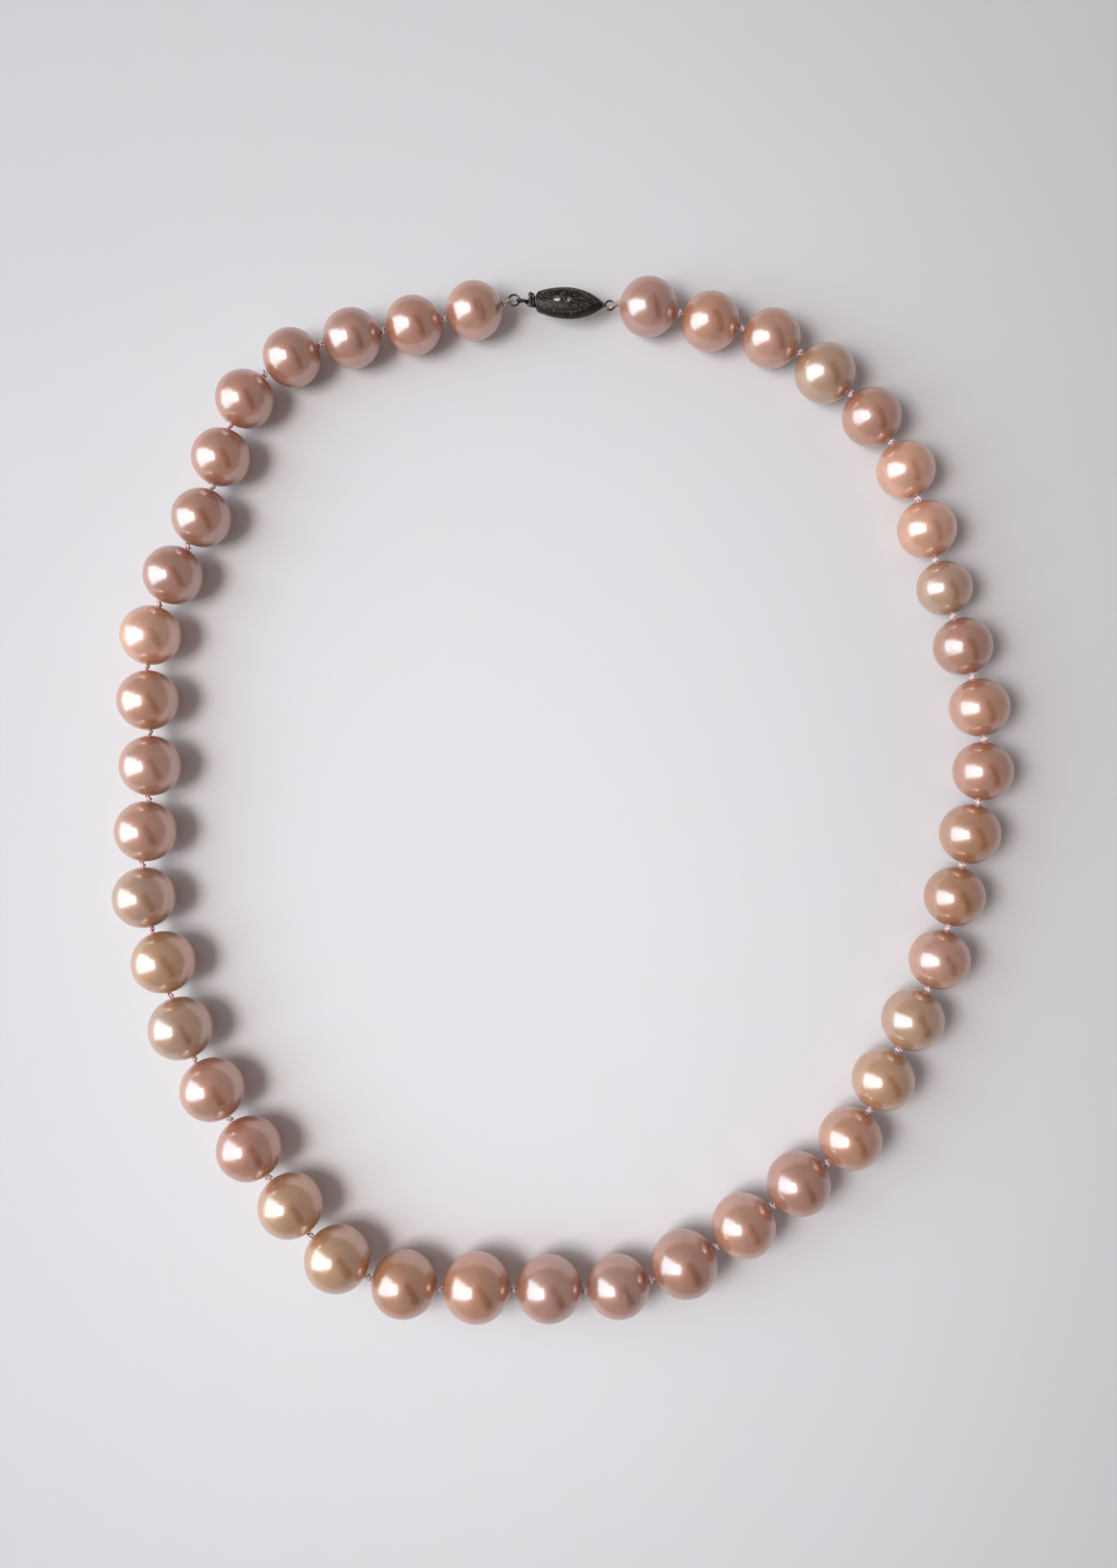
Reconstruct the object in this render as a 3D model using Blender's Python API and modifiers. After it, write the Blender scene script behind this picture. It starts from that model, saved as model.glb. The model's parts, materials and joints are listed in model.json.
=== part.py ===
"""Knotted pearl necklace with a pierced fish-hook clasp, lying flat as an open loop.

Metres, +Z up, +Y towards the clasp. The origin is under the middle of the loop, on the surface it lies on.
Every pearl is turned about its drill hole, and hinges on the silk knot between it and the one before.
"""

import math
import random

import bmesh
import bpy
from mathutils import Matrix, Vector

MM = 0.001

# strand
PEARLS = 43
END_DIAMETER = 9.0
CENTRE_EXTRA = 1.25
GRADE_MIDDLE = 23.5
GRADE_WIDTH = 0.45
SIZE_SPREAD = 0.012
ODD_SIZES = {4: 0.4, 8: -0.5, 20: 0.5, 21: -0.5, 23: 0.4}
KNOT_GAP = 0.725
BORE_RADIUS = 0.45
PEARL_STEPS = 14
PEARL_ARCS = 9

# silk and gimp
SILK_RADIUS = 0.16
KNOT_RADIUS = 0.50
LEG_OFFSET = 0.20
LOOP_RADIUS = 0.47
GIMP_RADIUS = 0.27
GIMP_WALL = 0.07
GIMP_LEG = 0.22

# clasp, in its own frame: u along it from the hook to the end ring, v across it, w up
CLASP_X = 0.4
CLASP_Y = 76.9
CLASP_Z = 4.45
CLASP_TURN = -3.0
SHELL_LENGTH = 11.6
SHELL_WIDTH = 4.6
SHELL_RISE = 1.5
SHELL_WALL = 0.28
SEAM_GAP = 0.06
RING_WIRE = 0.16
END_RING_U = 6.62
END_RING_RADIUS = 0.70
JUMP_RING_U = -8.27
JUMP_RING_RADIUS = 0.84
HOOK_RING_U = -7.29
HOOK_RING_RADIUS = 0.50
BAR_U = -3.0
BAR_W = -0.10
BAR_RADIUS = 0.20
LEAF_HINGE_U = 1.15
LEAF_HINGE_W = 0.5

# the strand's route in millimetres, clockwise seen from above, from the first pearl after the clasp
ROUTE = [
    (13.0, 76.3), (32.0, 71.5), (40.5, 66.0), (47.5, 59.5), (53.0, 51.0), (59.0, 33.0), (64.5, 14.0),
    (65.0, 4.5), (60.5, -15.5), (58.0, -25.5), (49.5, -43.5), (44.5, -52.5), (28.0, -66.0), (18.5, -72.0),
    (8.5, -75.5), (-13.5, -75.5), (-25.0, -75.0), (-35.0, -71.0), (-49.0, -53.5), (-59.5, -35.0),
    (-62.0, -25.0), (-65.0, -14.5), (-64.0, 6.0), (-64.0, 25.5), (-56.0, 44.0), (-53.0, 53.5),
    (-49.5, 62.0), (-42.0, 68.5), (-32.5, 71.5), (-23.0, 73.5), (-13.5, 75.8), (-4.0, 77.0),
]

for old in list(bpy.data.objects):
    bpy.data.objects.remove(old, do_unlink=True)

parts = bpy.data.collections.new("pearl_necklace")
bpy.context.scene.collection.children.link(parts)
cutters = bpy.data.collections.new("cutters")
bpy.context.scene.collection.children.link(cutters)


def material(name, colour, roughness, metallic):
    made = bpy.data.materials.new(name)
    made.use_nodes = True
    shader = made.node_tree.nodes["Principled BSDF"]
    shader.inputs["Base Color"].default_value = (*colour, 1.0)
    shader.inputs["Roughness"].default_value = roughness
    shader.inputs["Metallic"].default_value = metallic
    made.diffuse_color = (*colour, 1.0)
    return made


nacre = material("nacre", (0.74, 0.55, 0.46), 0.25, 0.0)
silk = material("silk", (0.86, 0.62, 0.58), 0.85, 0.0)
silver = material("oxidised_silver", (0.30, 0.27, 0.25), 0.35, 1.0)
gilt = material("gimp_wire", (0.72, 0.58, 0.42), 0.40, 1.0)


def add(made, surface, place=None, group=None):
    made.data.materials.append(surface)
    (group or parts).objects.link(made)
    if place is not None:
        made.matrix_world = place
    return made


def as_cutter(made):
    made.hide_render = True
    made.display_type = "WIRE"
    return made


def boolean(target, tool, operation):
    cut = target.modifiers.new(operation.lower(), "BOOLEAN")
    cut.operation = operation
    cut.solver = "EXACT"
    cut.object = tool
    return cut


def mesh_of(name, points, edges, faces):
    data = bpy.data.meshes.new(name)
    data.from_pydata(points, edges, faces)
    data.update()
    return bpy.data.objects.new(name, data)


def catmull_rom(points, pieces):
    """A smooth line through the points, which are flat."""
    ends = [points[0] * 2 - points[1], *points, points[-1] * 2 - points[-2]]
    line = []
    for k in range(len(points) - 1):
        a, b, c, d = ends[k : k + 4]
        for step in range(pieces):
            t = step / pieces
            bend = (a * 2 - b * 5 + c * 4 - d) * t**2
            twist = (b * 3 - a - c * 3 + d) * t**3
            line.append(0.5 * (b * 2 + (c - a) * t + bend + twist))
    return [*line, points[-1].copy()]


def next_on_line(line, start, centre, distance):
    """The first place on the line, after the start, that is this far from the centre."""
    for k in range(start, len(line) - 1):
        if (line[k + 1] - centre).length >= distance:
            low, high = 0.0, 1.0
            for _ in range(40):
                middle = (low + high) / 2
                if (line[k].lerp(line[k + 1], middle) - centre).length < distance:
                    low = middle
                else:
                    high = middle
            return line[k].lerp(line[k + 1], high), k
    raise ValueError("the route is too short for the pearls")


def pearl_radii():
    """Graded: largest at the middle of the strand, with a little natural unevenness."""
    chance = random.Random(23)
    radii = []
    for number in range(1, PEARLS + 1):
        t = abs(number - GRADE_MIDDLE) / 21
        size = END_DIAMETER + CENTRE_EXTRA * math.exp(-((t / GRADE_WIDTH) ** 2))
        size *= 1 + chance.uniform(-SIZE_SPREAD, SIZE_SPREAD)
        size += ODD_SIZES.get(number, 0.0)
        radii.append(size / 2)
    return radii


def pearl_centres(radii):
    line = catmull_rom([Vector(p) for p in ROUTE], 24)
    spots = [line[0]]
    at = 0
    for k in range(1, PEARLS):
        spot, at = next_on_line(line, at, spots[-1], radii[k - 1] + radii[k] + KNOT_GAP)
        spots.append(spot)
    return [Vector((s.x, s.y, r)) for s, r in zip(spots, radii)]


def level(vector):
    return Vector((vector.x, vector.y, 0)).normalized()


clasp_frame = Matrix.Translation(Vector((CLASP_X, CLASP_Y, CLASP_Z)) * MM) @ Matrix.Rotation(
    math.radians(CLASP_TURN), 4, "Z"
)


def at_clasp(u, v, w):
    """A place in the clasp's frame, in world millimetres."""
    return clasp_frame @ (Vector((u, v, w)) * MM) / MM


radii = pearl_radii()
centres = pearl_centres(radii)
RIGHT_RING = at_clasp(END_RING_U, 0, 0)
LEFT_RING = at_clasp(JUMP_RING_U, 0, 0)
RIGHT_WIRE = RIGHT_RING + level(centres[0] - RIGHT_RING) * END_RING_RADIUS
LEFT_WIRE = LEFT_RING + level(centres[-1] - LEFT_RING) * JUMP_RING_RADIUS
chain = [RIGHT_WIRE, *centres, LEFT_WIRE]
bores = [level(level(chain[k + 1] - chain[k]) + level(chain[k + 2] - chain[k + 1])) for k in range(PEARLS)]
entries = [c - b * r for c, b, r in zip(centres, bores, radii)]
exits = [c + b * r for c, b, r in zip(centres, bores, radii)]
knots = [(exits[k] + entries[k + 1]) / 2 for k in range(PEARLS - 1)]


def pivot(name, place):
    empty = bpy.data.objects.new(name, None)
    empty.empty_display_size = 0.002
    empty.location = place * MM
    parts.objects.link(empty)
    return empty


def hang(made, empty):
    """Parents a piece to its pivot without moving it."""
    made.parent = empty
    made.matrix_parent_inverse = Matrix.Translation(-empty.location)


def pearl(number, parent):
    """Turned about its drill hole, with one flat facet straight down."""
    radius = radii[number - 1]
    start = math.asin(BORE_RADIUS / radius)
    arc = (math.pi - 2 * start) / PEARL_ARCS
    widen = 1 / (math.cos(math.pi / PEARL_STEPS) * math.cos(arc / 2))
    points = []
    for k in range(PEARL_ARCS + 1):
        angle = start + arc * k
        across = math.sin(angle) * radius
        grow = 1 + (widen - 1) * min(1.0, 1.6 * (across - BORE_RADIUS) / radius)
        points.append(Vector((across * grow * MM, 0, math.cos(angle) * radius * MM)))
    count = len(points)
    made = mesh_of(f"pearl_{number:02d}", points, [(k, (k + 1) % count) for k in range(count)], [])
    turn = made.modifiers.new("turn", "SCREW")
    turn.axis = "Z"
    turn.angle = math.tau
    turn.steps = PEARL_STEPS
    turn.render_steps = PEARL_STEPS
    turn.use_merge_vertices = True
    turn.merge_threshold = 0.000001
    turn.use_smooth_shade = True
    along = bores[number - 1]
    half = math.pi / PEARL_STEPS
    down = Vector((0, 0, -1))
    side = along.cross(down)
    x_axis = down * math.cos(half) + side * math.sin(half)
    y_axis = along.cross(x_axis)
    frame = Matrix((x_axis, y_axis, along)).transposed().to_4x4()
    add(made, nacre)
    made.parent = parent
    made.matrix_local = Matrix.Translation(centres[number - 1] * MM - parent.location) @ frame
    return made


def tube(name, path, sizes, radius, caps):
    """A round tube through the points, in world millimetres. Sizes scale its radius at each point."""
    data = bpy.data.curves.new(name, "CURVE")
    data.dimensions = "3D"
    data.fill_mode = "FULL"
    data.bevel_depth = radius * MM
    data.bevel_resolution = 2
    data.use_fill_caps = caps
    line = data.splines.new("POLY")
    line.points.add(len(path) - 1)
    for point, place, size in zip(line.points, path, sizes):
        point.co = (*(place * MM), 1)
        point.radius = size
    line.use_smooth = True
    return bpy.data.objects.new(name, data)


def loop_round(wire, along):
    """Half a turn round a ring's wire, from under it to over it, opening along the given way."""
    up = Vector((0, 0, 1))
    path = [wire + along * GIMP_LEG - up * LOOP_RADIUS]
    for k in range(9):
        angle = math.pi * k / 8
        path.append(wire - along * math.sin(angle) * LOOP_RADIUS - up * math.cos(angle) * LOOP_RADIUS)
    path.append(wire + along * GIMP_LEG + up * LOOP_RADIUS)
    return path


up = Vector((0, 0, 1))
right_way = level(entries[0] - RIGHT_WIRE)
left_way = level(exits[-1] - LEFT_WIRE)
right_loop = loop_round(RIGHT_WIRE, right_way)
left_loop = loop_round(LEFT_WIRE, left_way)

# the silk: out of the first pearl, round the end ring and back,
# knotted after every pearl, then round the jump ring
first = centres[0]
last = centres[-1]
silk_path = [first - bores[0] * 1.2 - up * LEG_OFFSET, entries[0] - up * LEG_OFFSET * 0.95]
silk_path += right_loop
silk_path += [entries[0] + up * LEG_OFFSET * 0.95, first + up * LEG_OFFSET]
sizes = [1.0] * len(silk_path)
for k in range(PEARLS - 1):
    way = (entries[k + 1] - exits[k]).normalized()
    for offset, size in ((-0.30, 1.0), (-0.19, 0.84), (0.0, 1.0), (0.19, 0.84), (0.30, 1.0)):
        silk_path.append(knots[k] + way * offset)
        sizes.append(size * KNOT_RADIUS / SILK_RADIUS if abs(offset) < 0.25 else 1.0)
tail = [last + up * LEG_OFFSET, exits[-1] + up * LEG_OFFSET * 0.95]
tail += reversed(left_loop)
tail += [exits[-1] - up * LEG_OFFSET * 0.95, last + bores[-1] * 1.2 - up * LEG_OFFSET]
silk_path += tail
sizes += [1.0] * len(tail)
add(tube("silk_thread", silk_path, sizes, SILK_RADIUS, True), silk)

for name, path in (("gimp_right", right_loop), ("gimp_left", left_loop)):
    coil = add(tube(name, path, [1.0] * len(path), GIMP_RADIUS, False), gilt)
    wall = coil.modifiers.new("wall", "SOLIDIFY")
    wall.thickness = GIMP_WALL * MM
    wall.offset = -1
    seal = coil.modifiers.new("seal", "WELD")
    seal.merge_threshold = 0.0000001


def ring(name, u, w, radius, wire, upright, group=None):
    bpy.ops.mesh.primitive_torus_add(
        major_radius=radius * MM, minor_radius=wire * MM, major_segments=24, minor_segments=10
    )
    made = bpy.context.object
    made.name = name
    made.data.name = name
    for owner in list(made.users_collection):
        owner.objects.unlink(made)
    turn = Matrix.Rotation(math.pi / 2, 4, "X") if upright else Matrix.Identity(4)
    made.data.polygons.foreach_set("use_smooth", [True] * len(made.data.polygons))
    return add(made, silver, clasp_frame @ Matrix.Translation(Vector((u, 0, w)) * MM) @ turn, group)


def box(name, low, high, surface=silver, group=None):
    corners = [(x, y, z) for x in (low[0], high[0]) for y in (low[1], high[1]) for z in (low[2], high[2])]
    points = [Vector(corner) * MM for corner in corners]
    faces = [(0, 1, 3, 2), (4, 6, 7, 5), (0, 4, 5, 1), (2, 3, 7, 6), (0, 2, 6, 4), (1, 5, 7, 3)]
    return add(mesh_of(name, points, [], faces), surface, clasp_frame.copy(), group)


def rod(name, u, w, radius, half, sides=16, group=None):
    """A round bar across the clasp."""
    bpy.ops.mesh.primitive_cylinder_add(vertices=sides, radius=radius * MM, depth=2 * half * MM)
    made = bpy.context.object
    made.name = name
    made.data.name = name
    for owner in list(made.users_collection):
        owner.objects.unlink(made)
    place = clasp_frame @ Matrix.Translation(Vector((u, 0, w)) * MM) @ Matrix.Rotation(math.pi / 2, 4, "X")
    return add(made, silver, place, group)


def lens_outline(length, width, count):
    """A pointed oval: two arcs that meet at the ends."""
    half, rise = length / 2, width / 2
    big = (half**2 + rise**2) / (2 * rise)
    sweep = math.asin(half / big)
    angles = [sweep * (1 - 2 * k / count) for k in range(count + 1)]
    upper = [(big * math.sin(angle), big * math.cos(angle) - (big - rise)) for angle in angles]
    return upper + [(-x, -y) for x, y in upper[1:-1]]


def dome(name, length, width, rise, side, base, group=None):
    """Half a pointed almond: lens outlines that shrink as they climb. Side is 1 for up and -1 for down."""
    rows = 6
    points = []
    for row in range(rows):
        angle = math.pi / 2 * row / rows
        for x, y in lens_outline(length * math.cos(angle) ** 0.75, width * math.cos(angle), 14):
            points.append(Vector((x, y, side * (base + rise * math.sin(angle)))) * MM)
    ring_size = len(points) // rows
    points.append(Vector((0, 0, side * (base + rise))) * MM)
    faces = [tuple(range(ring_size))]
    for row in range(rows - 1):
        for k in range(ring_size):
            n = (k + 1) % ring_size
            a, b = row * ring_size, (row + 1) * ring_size
            faces.append((a + k, a + n, b + n, b + k))
    top = len(points) - 1
    for k in range(ring_size):
        faces.append(((rows - 1) * ring_size + k, (rows - 1) * ring_size + (k + 1) % ring_size, top))
    made = mesh_of(name, points, [], faces)
    work = bmesh.new()
    work.from_mesh(made.data)
    bmesh.ops.recalc_face_normals(work, faces=work.faces)
    work.to_mesh(made.data)
    work.free()
    return add(made, silver, clasp_frame.copy(), group)


# the hollow marquise body, in two halves soldered along the seam
mouth = as_cutter(box("mouth_cutter", (-7.0, -0.95, -0.82), (-2.2, 0.95, 0.86), group=cutters))
for name, side in (("clasp_top_shell", 1), ("clasp_bottom_shell", -1)):
    shell = dome(name, SHELL_LENGTH, SHELL_WIDTH, SHELL_RISE, side, SEAM_GAP / 2)
    hollow = as_cutter(
        dome(
            name + "_hollow",
            SHELL_LENGTH - 2.4 * SHELL_WALL,
            SHELL_WIDTH - 2 * SHELL_WALL,
            SHELL_RISE - SHELL_WALL + 0.2,
            side,
            SEAM_GAP / 2 - 0.2,
            cutters,
        )
    )
    boolean(shell, hollow, "DIFFERENCE")
    boolean(shell, mouth, "DIFFERENCE")
    if side > 0:
        for index, (u, length, width) in enumerate(((-1.7, 0.65, 0.30), (0.1, 0.33, 0.25))):
            bpy.ops.mesh.primitive_cylinder_add(vertices=16, radius=1 * MM, depth=2 * MM)
            hole = bpy.context.object
            hole.name = f"piercing_{index + 1}"
            for owner in list(hole.users_collection):
                owner.objects.unlink(hole)
            place = clasp_frame @ Matrix.Translation(Vector((u, 0, 1.6)) * MM)
            place = place @ Matrix.Diagonal((length, width, 1, 1))
            boolean(shell, as_cutter(add(hole, silver, place, cutters)), "DIFFERENCE")

rod("clasp_catch_bar", BAR_U, BAR_W, BAR_RADIUS, 1.05)
ring("clasp_end_ring", END_RING_U, 0, END_RING_RADIUS, RING_WIRE, False)

# the fish hook: a strip under the bar that curls back over it, with its ring outside the mouth
hook = box("hook_base", (-6.30, -0.75, -0.64), (1.0, 0.75, -0.44))
hang(hook, pivot("hook_slide", at_clasp(BAR_U, 0, 0)))
end = as_cutter(box("hook_end", (0.8, -0.75, -0.60), (1.0, 0.75, 0.32), group=cutters))
curl = as_cutter(box("hook_curl", (-0.2, -0.45, 0.16), (0.9, 0.45, 0.32), group=cutters))
root = as_cutter(box("hook_root", (-6.80, -0.30, -0.64), (-5.9, 0.30, 0.12), group=cutters))
eye = as_cutter(ring("hook_eye", HOOK_RING_U, 0, HOOK_RING_RADIUS, RING_WIRE, True, cutters))
for piece in (end, curl, root, eye):
    boolean(hook, piece, "UNION")

# the spring leaf over it, hinged on the fold at its inner end, with the thumb tab outside the mouth
leaf = box("hook_spring_leaf", (-6.0, -0.60, 0.45), (1.25, 0.60, 0.62))
tab = as_cutter(box("thumb_tab", (-6.1, -1.0, 0.50), (-5.45, 1.0, 1.05), group=cutters))
hang(leaf, pivot("leaf_hinge", at_clasp(LEAF_HINGE_U, 0, LEAF_HINGE_W)))
boolean(leaf, tab, "UNION")

link = ring("jump_ring", JUMP_RING_U, 0, JUMP_RING_RADIUS, RING_WIRE, False)
hang(link, pivot("jump_ring_hinge", at_clasp(JUMP_RING_U + JUMP_RING_RADIUS, 0, 0)))

# the pearls: the right run hangs from the end ring, the left run from the jump ring
right_last = PEARLS // 2
for number in range(1, right_last + 1):
    place = RIGHT_WIRE if number == 1 else knots[number - 2]
    pearl(number, pivot(f"hinge_{number:02d}", place))
for number in range(PEARLS, right_last, -1):
    place = LEFT_WIRE if number == PEARLS else knots[number - 1]
    pearl(number, pivot(f"hinge_{number:02d}", place))
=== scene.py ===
"""The pearl necklace's looks: turned nacre pearls, knotted silk, coiled gimp and an oxidised filigree clasp.

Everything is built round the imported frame, in metres, +Z up, with the clasp towards +Y.
"""

import json
import math
import random

import bpy
from mathutils import Matrix, Vector, noise


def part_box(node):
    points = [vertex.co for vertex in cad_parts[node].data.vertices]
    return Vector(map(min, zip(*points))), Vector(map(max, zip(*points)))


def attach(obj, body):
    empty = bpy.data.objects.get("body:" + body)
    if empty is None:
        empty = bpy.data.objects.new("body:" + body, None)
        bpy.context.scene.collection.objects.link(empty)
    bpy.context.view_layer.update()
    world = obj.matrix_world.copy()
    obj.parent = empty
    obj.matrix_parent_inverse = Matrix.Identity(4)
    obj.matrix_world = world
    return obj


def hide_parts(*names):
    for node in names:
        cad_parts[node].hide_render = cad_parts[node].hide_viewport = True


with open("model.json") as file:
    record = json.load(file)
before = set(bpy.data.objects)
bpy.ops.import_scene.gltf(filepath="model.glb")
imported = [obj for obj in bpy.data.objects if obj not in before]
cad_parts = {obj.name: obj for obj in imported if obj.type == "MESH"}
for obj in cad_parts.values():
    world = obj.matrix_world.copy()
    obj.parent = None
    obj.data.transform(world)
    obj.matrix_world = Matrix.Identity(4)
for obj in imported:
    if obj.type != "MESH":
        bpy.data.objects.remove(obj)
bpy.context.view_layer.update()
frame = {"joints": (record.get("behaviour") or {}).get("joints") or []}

MM = 0.001
UP = Vector((0, 0, 1))
PEARLS = 43
LAST_RIGHT = PEARLS // 2

# the clasp's frame, as in the CAD: u along it from the hook to the end ring, v across, w up
CLASP_PLACE = (0.4, 76.9, 4.45)
CLASP_TURN = -3.0
SHELL_LENGTH = 11.6
SHELL_WIDTH = 4.6
SHELL_RISE = 1.5
SHELL_WALL = 0.28
SEAM = 0.03
MOUTH_U = -4.85
MOUTH_FULLNESS = 1.22  # how much longer the mouth end of the oval is drawn than the far end
HOLES = ((-1.7, 0.0, 0.65, 0.30), (0.1, 0.0, 0.33, 0.25))
END_RING_U = 6.62
END_RING_RADIUS = 0.70
JUMP_RING_U = -8.27
JUMP_RING_RADIUS = 0.84
HOOK_RING_U = -7.29
HOOK_RING_RADIUS = 0.50
RING_WIRE = 0.16
BAR_U = -3.0
BAR_W = -0.10
BAR_RADIUS = 0.20

# silk and gimp
SILK_RADIUS = 0.17
LEG_OFFSET = 0.20
LOOP_RADIUS = 0.50
GIMP_RADIUS = 0.29
GIMP_WIRE = 0.045
BORE_RADIUS = 0.45

# one letter for each pearl's tone, clockwise from the clasp
TONES = "mprgkllgbpkoorgcpbrbmmpocckrgcgrrplbbkkbmkr"
NACRE_TONES = {
    "m": (0.48, 0.19, 0.11),  # mauve
    "r": (0.53, 0.21, 0.11),  # rose
    "k": (0.50, 0.18, 0.09),  # copper
    "p": (0.55, 0.21, 0.10),  # peach
    "o": (0.48, 0.18, 0.07),  # old gold
    "l": (0.69, 0.29, 0.15),  # light
    "c": (0.54, 0.24, 0.10),  # cream
    "g": (0.50, 0.24, 0.12),  # grey
    "b": (0.46, 0.17, 0.09),  # brown
}
CLOUD_TINT = (1.05, 1.14, 1.33)  # how much paler and pinker the cloudy patches are


# ---------------------------------------------------------------- helpers


def level(vector):
    return Vector((vector.x, vector.y, 0)).normalized()


def mesh_object(name, points, faces, material, smooth=True):
    data = bpy.data.meshes.new(name)
    data.from_pydata([tuple(p) for p in points], [], faces)
    data.polygons.foreach_set("use_smooth", [smooth] * len(data.polygons))
    data.materials.append(material)
    data.validate()
    made = bpy.data.objects.new(name, data)
    bpy.context.scene.collection.objects.link(made)
    return made


def skin(rings, round_trip=False, caps=True):
    """Points and faces of a tube through rings of one size. round_trip joins the last to the first."""
    size = len(rings[0])
    points = [p for ring in rings for p in ring]
    faces = []
    count = len(rings)
    for k in range(count if round_trip else count - 1):
        a, b = k * size, ((k + 1) % count) * size
        for j in range(size):
            n = (j + 1) % size
            faces.append((a + j, a + n, b + n, b + j))
    if caps and not round_trip:
        faces.append(tuple(reversed(range(size))))
        faces.append(tuple(range((count - 1) * size, count * size)))
    return points, faces


def frames_along(path, round_trip=False):
    """A steady pair of cross directions at each point of a path."""
    count = len(path)
    ways = []
    for k in range(count):
        before = path[k - 1] if k or round_trip else path[0]
        after = path[(k + 1) % count] if k < count - 1 or round_trip else path[-1]
        ways.append((after - before).normalized())
    side = ways[0].orthogonal().normalized()
    pairs = []
    for way in ways:
        side = (side - way * side.dot(way)).normalized()
        pairs.append((side, way.cross(side)))
    return pairs


def tube(path, radius, sides=10, round_trip=False, lobes=0, pitch=1.0, depth=0.0, sizes=None):
    """Rings round a path. Lobes twist round it once each pitch, which makes plied thread."""
    rings = []
    travelled = 0.0
    for k, (place, (a, b)) in enumerate(zip(path, frames_along(path, round_trip))):
        if k:
            travelled += (place - path[k - 1]).length
        turn = math.tau * travelled / pitch
        size = radius * (sizes[k] if sizes else 1.0)
        ring = []
        for j in range(sides):
            angle = math.tau * j / sides
            grow = 1 - depth * (0.5 + 0.5 * math.cos(lobes * (angle - turn))) if lobes else 1.0
            ring.append(place + (a * math.cos(angle) + b * math.sin(angle)) * size * grow)
        rings.append(ring)
    return skin(rings, round_trip)


def joined(*shapes):
    points, faces = [], []
    for more_points, more_faces in shapes:
        start = len(points)
        points += more_points
        faces += [tuple(i + start for i in face) for face in more_faces]
    return points, faces


def smooth_path(points, pieces):
    """A Catmull-Rom line through the points."""
    ends = [points[0] * 2 - points[1], *points, points[-1] * 2 - points[-2]]
    line = []
    for k in range(len(points) - 1):
        a, b, c, d = ends[k : k + 4]
        for step in range(pieces):
            t = step / pieces
            bend = (a * 2 - b * 5 + c * 4 - d) * t**2 + (b * 3 - a - c * 3 + d) * t**3
            line.append(0.5 * (b * 2 + (c - a) * t + bend))
    return [*line, points[-1].copy()]


def millimetres(shape):
    points, faces = shape
    return [p * MM for p in points], faces


# ---------------------------------------------------------------- materials


def new_material(name):
    made = bpy.data.materials.new(name)
    made.use_nodes = True
    return made, made.node_tree, made.node_tree.nodes["Principled BSDF"]


def node(tree, kind, **settings):
    made = tree.nodes.new(kind)
    for key, value in settings.items():
        if key in made.inputs:
            made.inputs[key].default_value = value
        else:
            setattr(made, key, value)
    return made


def noise_map(tree, coords, scale, detail, low, high, source=None):
    """Noise of this scale, stretched from low to high."""
    field = node(tree, "ShaderNodeTexNoise", Scale=scale, Detail=detail)
    tree.links.new(coords.outputs["Object"], field.inputs["Vector"])
    spread = node(tree, "ShaderNodeMapRange")
    spread.inputs["From Min"].default_value = 0.3
    spread.inputs["From Max"].default_value = 0.7
    spread.inputs["To Min"].default_value = low
    spread.inputs["To Max"].default_value = high
    tree.links.new(field.outputs["Fac"], spread.inputs["Value"])
    return spread.outputs["Result"]


def mix_colour(tree, factor, first, second, blend="MIX"):
    made = node(tree, "ShaderNodeMix", data_type="RGBA", blend_type=blend)
    for socket, value in ((made.inputs[6], first), (made.inputs[7], second)):
        if isinstance(value, tuple):
            socket.default_value = (*value, 1)
        else:
            tree.links.new(value, socket)
    if isinstance(factor, float):
        made.inputs[0].default_value = factor
    else:
        tree.links.new(factor, made.inputs[0])
    return made.outputs[2]


def vector_math(tree, operation, first, second=None):
    made = node(tree, "ShaderNodeVectorMath", operation=operation)
    for socket, value in zip(made.inputs, (first, second)):
        if isinstance(value, Vector):
            socket.default_value = value
        elif value is not None:
            tree.links.new(value, socket)
    return made


def bump(tree, shader, height, strength, distance):
    made = node(tree, "ShaderNodeBump")
    made.inputs["Strength"].default_value = strength
    made.inputs["Distance"].default_value = distance
    tree.links.new(height, made.inputs["Height"])
    tree.links.new(made.outputs["Normal"], shader.inputs["Normal"])
    return made


def nacre(letter):
    first = NACRE_TONES[letter]
    second = tuple(part * tint for part, tint in zip(first, CLOUD_TINT))
    made, tree, shader = new_material(f"nacre_{letter}")
    coords = node(tree, "ShaderNodeTexCoord")
    patches = noise_map(tree, coords, 140.0, 2.0, 0.0, 1.0)
    body = mix_colour(tree, patches, first, second)
    cloud = noise_map(tree, coords, 420.0, 3.0, 0.86, 1.06)
    shade = node(tree, "ShaderNodeCombineColor")
    for socket in shade.inputs:
        if socket.name in ("Red", "Green", "Blue"):
            tree.links.new(cloud, socket)
    body = mix_colour(tree, 1.0, body, shade.outputs[0], "MULTIPLY")
    tree.links.new(body, shader.inputs["Base Color"])
    tree.links.new(noise_map(tree, coords, 300.0, 2.0, 0.40, 0.46), shader.inputs["Roughness"])
    shader.inputs["Metallic"].default_value = 0.30
    shader.inputs["Coat Weight"].default_value = 1.0
    shader.inputs["Coat Roughness"].default_value = 0.22
    shader.inputs["Coat IOR"].default_value = 2.6
    bump(tree, shader, noise_map(tree, coords, 900.0, 2.0, 0.0, 1.0), 0.10, 0.0001)
    return made


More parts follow.
